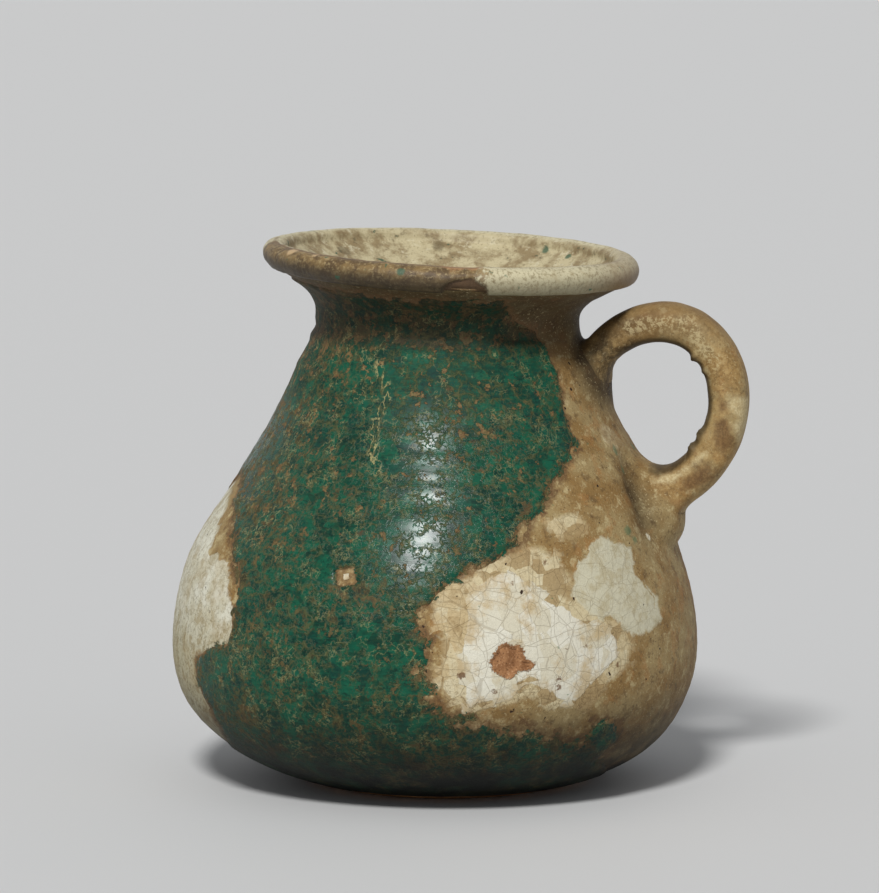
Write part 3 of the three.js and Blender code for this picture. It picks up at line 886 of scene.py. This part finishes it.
def white_ground_finish():
    """The white ground where it is clean, greyer in a soft lobe beside that, and cream to ochre round
    both. A clean flake's edge follows the borders of random cells, so that it is angular, and nets of
    thin grey-brown cracks lie over all of it. At the far left the ground is chalky, and stained and
    grainy low down. In the chips the broken clay shows."""
    paint = Paint("white ground")
    mid, specks = blots_and_specks(paint)
    base, covered, glossy, relief = glazed(paint, mid, specks)
    open_ground = 1 - covered
    picks = paint.cells(4.6, "F1", paint.shaken(4, 0.8), 1, 0.7)
    first, second = paint.chance(picks, 0), paint.chance(picks, 1)
    torn = (first - 0.5) * 2 + (paint.noise(0.9, 3, 0.6) - 0.5) * 0.9
    clean = (paint.mark("white") + torn).step(-0.15, 0.15) * open_ground
    cream = (paint.mark("cream") - torn + (mid - 0.5) * 5).step(-0.8, 0.8) * open_ground
    lobe = (paint.mark("lobe") + torn * 0.5 + (mid - 0.5) * 4).step(-0.3, 0.5) * open_ground
    pale = (paint.mark("pale") + torn * 0.6 + (mid - 0.5) * 6).step(-1, 0.2) * open_ground
    bent = paint.shaken(15, 3)
    faint = paint.noise(5, 3, 0.6)
    cracks = (paint.cracks(7.5, bent, 0.6) | paint.cracks(3.2, bent, 0.6, 0.08)) * 0.8
    cracks = cracks | paint.cracks(1.5, paint.shaken(4, 0.6), 0.6, 0.07) * faint.step(0.4, 0.6) * 0.5
    soaked = (paint.noise(5.2, 6, 0.66) - paint.mark("white").step(-1, 8) * 0.1 + 0.02).step(0.44, 0.64)
    low = paint.height.step(40, 24)
    grit = paint.noise(0.7, 5, 0.75)
    chalk = paint.layers(
        color(218, 216, 198),
        (faint, 0.4, 0.6, 0.5, 194, 188, 158),
        (low * 0.75, 172, 163, 126),
        (mid, 0.5, 0.6, low * 0.4 + 0.35, 148, 134, 98),
        (grit, 0.52, 0.6, low * 0.35 + 0.4, 108, 94, 62),
        (soaked * 0.3, 172, 150, 108),
        (faint, 0.42, 0.55, cracks * 0.4, 112, 96, 70),
    )
    base = paint.mix(pale * 0.95, base, chalk)
    small = paint.chance(paint.cells(3.2, "F1", paint.shaken(3, 0.8), 1, 0.8)) * 0.7 + mid
    ochre = paint.layers(
        color(206, 192, 155),
        (second, 0.4, 0.8, 0.6, 186, 162, 118),
        (small, 0.8, 1.05, 0.75, 152, 126, 84),
        (small, 0.62, 0.45, 0.7, 214, 205, 174),
        (grit, 0.5, 0.58, paint.height.step(30, 20) * 0.5 + 0.2, 110, 88, 56),
        (cracks * 0.45, 108, 86, 56),
    )
    base = paint.mix(cream * 0.85, base, ochre)
    grey = paint.layers(
        color(198, 193, 168), (mid, 0.44, 0.64, 0.7, 176, 164, 130), (cracks * 0.4, 120, 104, 76))
    base = paint.mix(lobe * 0.95, base, grey)
    white = paint.layers(
        color(214, 210, 193),
        (first, 0.3, 0.8, 1, 203, 196, 173),
        (soaked * 0.7, 178, 152, 104),
        (mid, 0.4, 0.3, 0.4, 224, 220, 206),
        (cracks * 0.4, 118, 102, 76),
    )
    base = paint.mix(clean, base, white)
    pits = paint.noise(1.6, 2, 0.5).step(0.745, 0.765) * open_ground
    bits = paint.noise(1.3, 2, 0.5, paint.stretched(1, 1, 1.4)).step(0.755, 0.78) * open_ground
    base = paint.layers(
        base,
        (paint.frayed("brown", specks, 1.5, -0.2, 0.2) * 0.85, 104, 72, 42),
        (pits, 50, 34, 22),
        ((bits | paint.frayed("tint", mid, 4, -0.4, 0.6)) * 0.6, 84, 112, 80),
    )
    clay, clay_relief = broken_clay(paint)
    chip = paint.frayed("chip", specks, 1.2, -0.3, 0)
    relief = relief + clean * 0.06 - (clean | cream) * cracks * 0.05 - pits * 0.12 + chip * clay_relief
    rough = (0.66 - glossy * 0.42 - clean * 0.12) | chip * 0.85
    return paint.finish(shaded_towards_foot(paint, paint.mix(chip, base, clay)), rough, relief, 0.22)


COAT_COLUMNS = 440
COAT_ROWS = 190
BACK_DEPTH = 2.3
coat_line = spaced(wall_line[wall_line[:, 1] > 1.15], COAT_ROWS)
back_line = spaced(inset(coat_line, BACK_DEPTH), 16)[::-1]


def coat(name, front, marks):
    """A closed coat: its front, then a plain back inside the clay."""
    back = settled(turned(back_line, COAT_COLUMNS))
    return skin(name, np.vstack([front, back]), ring=True, marks=marks)


finished = thrown(coat_line, COAT_COLUMNS)
facing = outward(finished)
chips = chipped(coat_line, COAT_COLUMNS, finished)
bare = bare_of_green(coat_line, COAT_COLUMNS, finished)
small_chip = within(coat_line, COAT_COLUMNS, SMALL_CHIP)
bare = np.maximum(bare, np.clip(small_chip * 6, -9, 1.4))

finished = finished + facing * wads_lift(finished)[..., None]
white_depth = GREEN_THICK + 1.5 * smooth(chips, 0.1, 1.1) + 0.5 * smooth(coat_line[:, 1:], 98.5, 101)
white_front = finished - facing * white_depth[..., None]
white_front = flowing(white_front, pot_distance, coil_distance)
wall_turn = turns(COAT_COLUMNS)[None]
wall_height = coat_line[:, 1:]


def wear():
    """How weathered the green is, from 0 to 1: most on the neck, at the far left and near the foot."""
    left = smooth(np.abs(from_turn(wall_turn, -165)), 62, 15)
    neck, foot = smooth(wall_height, 84, 90), smooth(wall_height, 26, 8)
    return np.clip(0.8 * neck + 0.6 * left * smooth(wall_height, 15, 40) + 0.5 * foot, 0, 1)


def on_coat(outline):
    """How far inside an outline each point of the coat lies."""
    return within(coat_line, COAT_COLUMNS, outline)


def spots_on(turn, up, wall, spots):
    """How far inside one of several round spots each point of a surface lies, laid flat from a radius of
    wall. A spot is a turn in degrees, how far up it lies and its radius."""
    depths = []
    for spot_turn, spot_up, radius in spots:
        across = np.radians(from_turn(turn, spot_turn)) * wall
        depths.append(radius - np.hypot(across, up - spot_up))
    return np.maximum.reduce(depths)


def spotted(spots):
    """How far inside one of several spots, given by their heights, each point of the coat lies."""
    raised = [(turn, along_wall(height), radius) for turn, height, radius in spots]
    return spots_on(wall_turn, along_wall(wall_height), FLAT_RADIUS, raised)


# Painted shade round the handle's upper end and in the thumb dents, kept as the shade mark.
beside_handle = smooth(coil_distance(finished), 8, 1) * smooth(wall_height, 70, 78)
wall_marks = {
    "tint": spotted(GREEN_SPOTS),
    "brown": spotted(BROWN_SPOTS),
    "bare": bare,
    "worn": wear(),
    "shade": np.clip(beside_handle + 0.6 * dents(finished), 0, 1),
    "scratched": smooth(off_path(*laid_flat(coat_line, COAT_COLUMNS, SCRATCH_PATH)), 1.8, 0.4),
    "chip": chips,
    "white": np.maximum.reduce([on_coat(WHITE_CORE), (small_chip - 1.2) * 5, spotted([WHITE_SPECK])]),
    "lobe": on_coat(GREY_LOBE),
    "cream": np.maximum.reduce([on_coat(flake) for flake in CREAM_FLAKES]),
    "pale": on_coat(PALE_LEFT),
}
white_ground = coat("white_ground", white_front, wall_marks)
white_ground.data.materials.append(white_ground_finish())
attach(white_ground, "root")
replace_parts(white_ground, "white_coat")

# The green glaze
# Thick glossy glaze, deep teal where it is whole. It is weathered brown along a net of veins and in
# patches, most of all towards its edges, on the neck and at the left, and it has come off here and there.


def green_finish():
    """The weathered wall with painted shade towards its foot and on the neck, and nothing of the ground's
    flakes.
    """
    paint = Paint("green glaze")
    base, _, glossy, relief = glazed(paint, *blots_and_specks(paint))
    return paint.finish(shaded_towards_foot(paint, base), 0.66 - glossy * 0.42, relief, 0.22)


green_depth = (GREEN_THICK + 0.35) * smooth(bare, -0.7, 0.7)
green_depth = green_depth + (1.9 - green_depth) * smooth(chips, -0.6, 0.2)
green_front = finished - facing * green_depth[..., None]
near_handle = smooth(np.minimum(np.abs(pot_distance(green_front)), coil_distance(green_front)), 6, 4)
green_front = green_front - facing * near_handle[..., None] * 0.6 * smooth(bare, 0, 1)[..., None]
green_glaze = coat("green_glaze", green_front, wall_marks)
green_glaze.data.materials.append(green_finish())
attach(green_glaze, "root")
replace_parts(green_glaze, "green_coat")

# The glaze of the lip and mouth
# Thick cream glaze poured over the lip, with a hanging lower edge. It is whitest to the right, thin
# and brown to the left, knocked off at one place of its lower edge, and mottled inside the mouth.

MOUTH_DEPTH = 17
mouth_inside = inner_line()
mouth_inside = mouth_inside[mouth_inside[:, 1] > HEIGHT - MOUTH_DEPTH]
mouth_line = spaced(joined(
    bead(np.linspace(BEAD_START - 16, FUNNEL_ANGLE, 40), BEAD_RADIUS),
    inset(mouth_inside, -0.85)[2:],
), 92)
mouth_back = spaced(joined(
    bead(np.linspace(BEAD_START - 12, FUNNEL_ANGLE, 30), BEAD_RADIUS - 2.1),
    inset(mouth_inside, 0.6),
), 24)[::-1]
MOUTH_COLUMNS = 480
mouth_reach = walked(mouth_line)[:, None]
mouth_turn = turns(MOUTH_COLUMNS)[None]

NOTCH_TURN = -75.2
NOTCH_HALF_WIDE = 4.6
NOTCH_HIGH = 4.0
NOTCH_DEEP = 0.6
mouth_grid = settled(turned(mouth_line, MOUTH_COLUMNS))
mouth_facing = outward(mouth_grid)
notch_across = np.radians(from_turn(mouth_turn, NOTCH_TURN)) * LIP_RADIUS
notch = 1 - np.hypot(notch_across / NOTCH_HALF_WIDE, mouth_reach / NOTCH_HIGH)
notch = notch * 3 + 0.45 * clouds(mouth_grid, 1.6, 31)
thick_share = smooth(mouth_turn, -73, -69) * smooth(mouth_turn, 150, 50)
brown_share = smooth(mouth_turn, -172, -162) * smooth(mouth_turn, -62, -79) * smooth(mouth_reach, 8.8, 7.6)
on_bead = smooth(mouth_reach, 9, 7)
lift = 0.1 * clouds(mouth_grid, 5, 32) + 0.05 * clouds(mouth_grid, 1.6, 33)
lift = lift + on_bead * (0.18 * thick_share - 0.28 * (1 - thick_share)) * smooth(mouth_reach, 0, 1.2)
lift = lift - NOTCH_DEEP * smooth(notch, -0.15, 0.3) * smooth(mouth_reach, 7, 4.5)
worn_rim = smooth(np.abs(from_turn(mouth_turn, 180)), 40, 32) * smooth(mouth_grid[..., 2], 100, 103)
mouth_grid = mouth_grid + mouth_facing * lift[..., None]
mouth_grid[..., 2] -= 0.15 * worn_rim
mouth_shell = np.vstack([mouth_grid, settled(turned(mouth_back, MOUTH_COLUMNS))])


def mouth_finish():
    """Cream glaze, clean and speckled on the right of the lip, brown on its left and mottled inside, with
    a few green specks. Painted shade darkens the lower face of the bead and the clay in the notch."""
    paint = Paint("cream glaze")
    mid, specks = blots_and_specks(paint)
    blotch = paint.noise(4.2, 6, 0.66)
    grains = paint.noise(0.7, 6, 0.75)
    under = paint.mark("under")
    bare_lip = (paint.mark("brown") + (mid - 0.5) * 1.5 + (grains - 0.5) * 1.2).step(0.35, 0.65)
    cream = paint.layers(
        color(200, 191, 158),
        (grains, 0.48, 0.6, 0.75, 132, 118, 86),
        (blotch, 0.5, 0.66, 0.5, 164, 146, 108),
        # Painted shade on the lower face of the bead.
        (under * 0.6, 112, 104, 80),
        # A tan end over the handle, made stronger on the bead's lower face by painted shade.
        (paint.mark("end") * (under * 0.4 + 0.35), 122, 94, 62),
    )
    brown = paint.layers(
        color(88, 68, 40),
        (mid, 0.4, 0.6, 1, 128, 104, 64),
        (grains, 0.5, 0.6, 0.65, 170, 150, 108),
        # Painted shade on the lower face of the bead.
        (under * 0.8, 54, 44, 30),
        (paint.frayed("light", mid, 3, -0.4, 0.4), 186, 158, 118),
    )
    inner = paint.layers(
        color(190, 178, 142),
        (blotch, 0.4, 0.62, 1, 140, 122, 88),
        (mid, 0.56, 0.7, 0.7, 104, 86, 58),
        (mid, 0.44, 0.34, 0.6, 210, 202, 172),
        (specks, 0.56, 0.68, 0.5, 104, 88, 62),
    )
    green = paint.noise(2.6, 3, 0.5).step(0.69, 0.73) | paint.frayed("green", mid, 2, -0.3, 0.3)
    base = paint.layers(
        paint.mix(paint.mark("inside"), paint.mix(bare_lip, cream, brown), inner),
        (paint.frayed("orange", mid, 4, -0.6, 0.8) * 0.7, 170, 126, 84),
        (green * 0.8, 40, 84, 62),
        (paint.frayed("stain", mid, 3, -0.5, 0.5) * 0.5, 88, 78, 54),
        (blotch + 0.2, 0.5, 0.62, paint.mark("crest") * 0.7, 104, 78, 48),
    )
    # Painted shade: the clay in the notch darkened to dark brown.
    shaded_notch_clay = paint.mix(0.85, broken_clay(paint)[0], color(52, 41, 25))
    base = paint.mix(paint.mark("notch"), base, shaded_notch_clay)
    return paint.finish(base, 0.52, specks * 0.07 + mid * 0.14, 0.35)


def mouth_spots(spots):
    """The same on the mouth's glaze, where a spot lies so far along the line from its lower edge."""
    return spots_on(mouth_turn, mouth_reach, LIP_RADIUS, spots)


mouth_glaze = skin("mouth_glaze", mouth_shell, ring=True, marks={
    "brown": brown_share,
    "inside": smooth(mouth_reach, 8.2, 9.2) + 0 * mouth_turn,
    # The lower face of the bead, where painted shade is laid.
    "end": smooth(np.abs(mouth_turn), 38, 12) + 0 * mouth_reach,
    "under": smooth(mouth_reach, 5.4, 2.4) + 0 * mouth_turn,
    "crest": hump(mouth_reach - 7.6, 0.4) * smooth(mouth_turn, 5, -15),
    "notch": smooth(notch, -0.1, 0.2) * smooth(mouth_reach, 7, 5),
    "orange": mouth_spots([(-79, 8.4, 2.6), (-73, 8.8, 2.4)]),
    "light": mouth_spots([(-140, 6.5, 1.3), (-128, 6.8, 0.7)]),
    "green": mouth_spots([(-95, 4.8, 0.8), (63, 11.3, 0.9), (51, 12, 0.8)]),
    "stain": mouth_spots([(104, 12.7, 1.4), (145, 14.1, 1.6)]),
})
mouth_glaze.data.materials.append(mouth_finish())
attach(mouth_glaze, "root")
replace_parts(mouth_glaze, "mouth_coat")

# The handle's glaze
# The same weathered glaze as on the wall, as a sleeve round the coil. It is rubbed pale along the
# outside and worn to brown in places, and a crust with a few lumps lies inside the loop. Dirt and
# painted shade darken the face inside the loop, and painted shade its top and upper end.

HANDLE_ROWS = 300
HANDLE_COLUMNS = 96
sleeve = coil(HANDLE_ROWS, HANDLE_COLUMNS, 0)
sleeve_facing = outward(sleeve)
sleeve_turn = turns(HANDLE_COLUMNS, 0)[None]
sleeve_reach = np.linspace(0, walked(handle_line)[-1], HANDLE_ROWS)[:, None]
LUMP_Y = -3.6
CRUST_LUMPS = [(49.6, 84.7, 0.9, 0.8), (51.5, 82, 0.8, 0.4), (52.5, 77.7, 1.6, 0.1), (52, 72.6, 1.1, 0.2),
               (50.7, 69.6, 1.3, 0.8), (49, 66.9, 1.1, 0.9)]
crust = np.zeros(sleeve.shape[:2])
for lump_x, lump_z, radius, high in CRUST_LUMPS:
    off = (sleeve - np.array([lump_x, LUMP_Y, lump_z])) * np.array([1, 0.5, 1])
    crust += high * hump(length(off), radius)
crust *= 1 + 0.5 * clouds(sleeve, 0.9, 41)
sleeve_lift = 0.12 * clouds(sleeve, 7, 43) + 0.05 * clouds(sleeve, 2.5, 44) + crust
sleeve = sleeve + sleeve_facing * sleeve_lift[..., None]
sleeve = flowing(sleeve, coil_distance, pot_distance)


def handle_finish():
    """Weathered tan glaze, grainy, with pale rubbed streaks, brown bare patches and a dark crust. Painted
    shade darkens its top and its upper end, and dirt with painted shade the face inside the loop. At both
    ends it turns into the stained ground of the wall."""
    paint = Paint("handle glaze")
    mid, specks = blots_and_specks(paint)
    tan = stained(paint, mid, specks)
    rub = paint.noise(3.4, 6, 0.68, paint.shaken(3, 1))
    grains = paint.noise(0.8, 6, 0.75)
    worn = paint.frayed("bare", mid, 4, -1, 1)
    rubbed = paint.frayed("rubbed", rub, 4, -0.8, 0.8)
    base = paint.layers(
        tan,
        (rub, 0.4, 0.62, 0.6, 168, 137, 86),
        (grains, 0.5, 0.62, 0.4, 188, 162, 112),
        (grains, 0.46, 0.36, 0.5, 106, 82, 50),
        # Painted shade: the top of the handle darker.
        (paint.height, 84, 92, 0.5, 110, 84, 50),
        (grains, 0.46, 0.58, paint.frayed("crown", mid, 3, -0.6, 0.8) * 0.6, 192, 176, 134),
        (rubbed * (0.4 + specks.step(0.42, 0.58) * 0.5), 198, 182, 140),
    )
    brown = paint.mix(specks.step(0.45, 0.6), color(98, 70, 42), color(124, 94, 58))
    base = paint.layers(
        paint.mix(worn * 0.8, base, brown),
        (paint.frayed("rust", mid, 3, -0.6, 0.6) * 0.5, 158, 108, 66),
        # Dirt and painted shade on the face inside the loop.
        (paint.mark("dirt_and_shade") * (mid * 0.6 + 0.5), 62, 50, 32),
        (paint.mark("crust") * 0.6, 92, 82, 58),
    )
    base = paint.mix(paint.mark("joint"), base, tan)
    return paint.finish(base, 0.64, specks * 0.08 + mid * 0.14 - worn * 0.1, 0.22)


HANDLE_BARE = [
    [54.7, 77, 56.3, 75.8, 55.5, 74.2, 54.7, 74.6],
    [53.9, 72.6, 56.1, 72.9, 56.9, 70, 57.1, 67.2, 55.1, 66.4, 53.6, 68.7],
    [52, 64.4, 54, 63.3, 53.2, 60.9, 48.9, 58.4, 47.2, 59, 47.5, 60.8, 50.5, 62.8],
]
HANDLE_RUBBED = [
    [56.3, 77.8, 60.2, 76.7, 59.8, 71.8, 58.3, 68.8, 57.1, 71.7, 58.2, 73.1, 56.3, 75.4],
    [41.1, 59.7, 46, 60.8, 50.8, 64.2, 52.4, 66.4, 50, 65, 46, 61.9, 41.1, 60.6],
]
HANDLE_CROWN = np.reshape([37, 90.4, 39.4, 91.1, 48.8, 91.3, 50.7, 87.2, 53.7, 84.3], (-1, 2))
HANDLE_RUST = [[43.2, 56.7, 47, 56.8, 47, 52.1, 43.5, 52]]


def far_side(grid):
    """0 on the handle's side at -Y, and on its other side enough to take any mark off it."""
    return 6 * smooth(grid[..., 1], -1, 2)


def near_side(grid, outlines):
    """How far inside one of several outlines in the loop's plane each point lies, on the side at -Y."""
    return np.maximum.reduce([inside(grid[..., [0, 2]], outline) for outline in outlines]) - far_side(grid)


sleeve_inside = coil(60, HANDLE_COLUMNS, HANDLE_GLAZE_THICK)[::-1]
inner_face = smooth(np.abs(from_turn(sleeve_turn, 0)), 62, 40)
handle_glaze = skin("handle_glaze", np.vstack([sleeve, sleeve_inside]), ring=True, marks={
    "crust": np.clip(crust, 0, 1),
    # The face inside the loop, darkened by dirt and painted shade.
    "dirt_and_shade": inner_face * smooth(sleeve_reach, 6, 14),
    # The handle's upper end, darkened by painted shadow of the lip.
    "shade": smooth(sleeve_reach, 22, 12) * 0.9 + 0 * sleeve_turn,
    "joint": smooth(pot_distance(sleeve), 3, 0.4),
    "rubbed": near_side(sleeve, HANDLE_RUBBED),
    "bare": near_side(sleeve, HANDLE_BARE),
    "crown": 1.5 - off_path(sleeve[..., [0, 2]], HANDLE_CROWN) - far_side(sleeve),
    "rust": near_side(sleeve, HANDLE_RUST),
})
handle_glaze.data.materials.append(handle_finish())
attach(handle_glaze, "root")
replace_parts(handle_glaze, "handle_coat")

# The table and the light
# A plain pale table top, one soft light from in front and above, and even light from all round.

TABLE_HALF = 3.0
corners = [(x * TABLE_HALF, y * TABLE_HALF, 0) for x, y in ((-1, -1), (1, -1), (1, 1), (-1, 1))]
floor_mesh = bpy.data.meshes.new("table_top")
floor_mesh.from_pydata(corners, [], [(0, 1, 2, 3)])
table_top = bpy.data.objects.new("table_top", floor_mesh)
bpy.context.scene.collection.objects.link(table_top)
table_paint = Paint("table top")
table_shader = table_paint.node("ShaderNodeBsdfPrincipled", {}, {
    "Base Color": color(208, 208, 207), "Roughness": 0.7})
table_paint.node("ShaderNodeOutputMaterial", {}, {"Surface": table_shader})
floor_mesh.materials.append(table_paint.material)

SOFT_STRENGTH = 0.34
world = bpy.data.worlds.new("studio")
bpy.context.scene.world = world
sky = Nodes(world)
seen = sky.node("ShaderNodeLightPath", {}, {}, "Is Camera Ray")
for kind in ("Is Glossy Ray", "Is Transmission Ray"):
    seen = seen | sky.node("ShaderNodeLightPath", {}, {}, kind)
soft = sky.node("ShaderNodeBackground", {}, {"Color": color(236, 238, 242), "Strength": SOFT_STRENGTH})
backdrop = sky.node("ShaderNodeBackground", {}, {"Color": color(202, 203, 205)})
choice = sky.node("ShaderNodeMixShader", {}, {0: seen, 1: soft, 2: backdrop})
sky.node("ShaderNodeOutputWorld", {}, {"Surface": choice})

KEY_STRENGTH = 2.75
KEY_SPREAD = 11
KEY_TURN = -91
KEY_RISE = 45
key = bpy.data.lights.new("key_light", "SUN")
key.energy = KEY_STRENGTH
key.angle = np.radians(KEY_SPREAD)
key_object = bpy.data.objects.new("key_light", key)
level_share, up_share = going(KEY_RISE, 1)
towards_key = Vector((*going(KEY_TURN, level_share), up_share))
key_object.rotation_euler = towards_key.to_track_quat("Z", "Y").to_euler()
bpy.context.scene.collection.objects.link(key_object)

# The camera
# It stands at the angle of the photograph: ten degrees round from the front towards the handle, and a
# little above.

CAMERA_TURN = -80
CAMERA_DISTANCE = 1.3
CAMERA_HEIGHT = 0.232
AIM_HEIGHT = 0.0657
SIDEWAYS = -0.00127
camera_data = bpy.data.cameras.new("camera")
camera_data.lens = 269.5
camera_data.sensor_width = 36
camera_data.sensor_fit = "AUTO"
camera = bpy.data.objects.new("camera", camera_data)
to_right = Vector((*going(CAMERA_TURN + 90, SIDEWAYS), 0))
camera.location = Vector((*going(CAMERA_TURN, CAMERA_DISTANCE), CAMERA_HEIGHT)) + to_right
aim = Vector((0, 0, AIM_HEIGHT)) + to_right
camera.rotation_euler = (camera.location - aim).to_track_quat("Z", "Y").to_euler()
bpy.context.scene.collection.objects.link(camera)
bpy.context.scene.camera = camera
bpy.context.scene.view_settings.view_transform = "Standard"
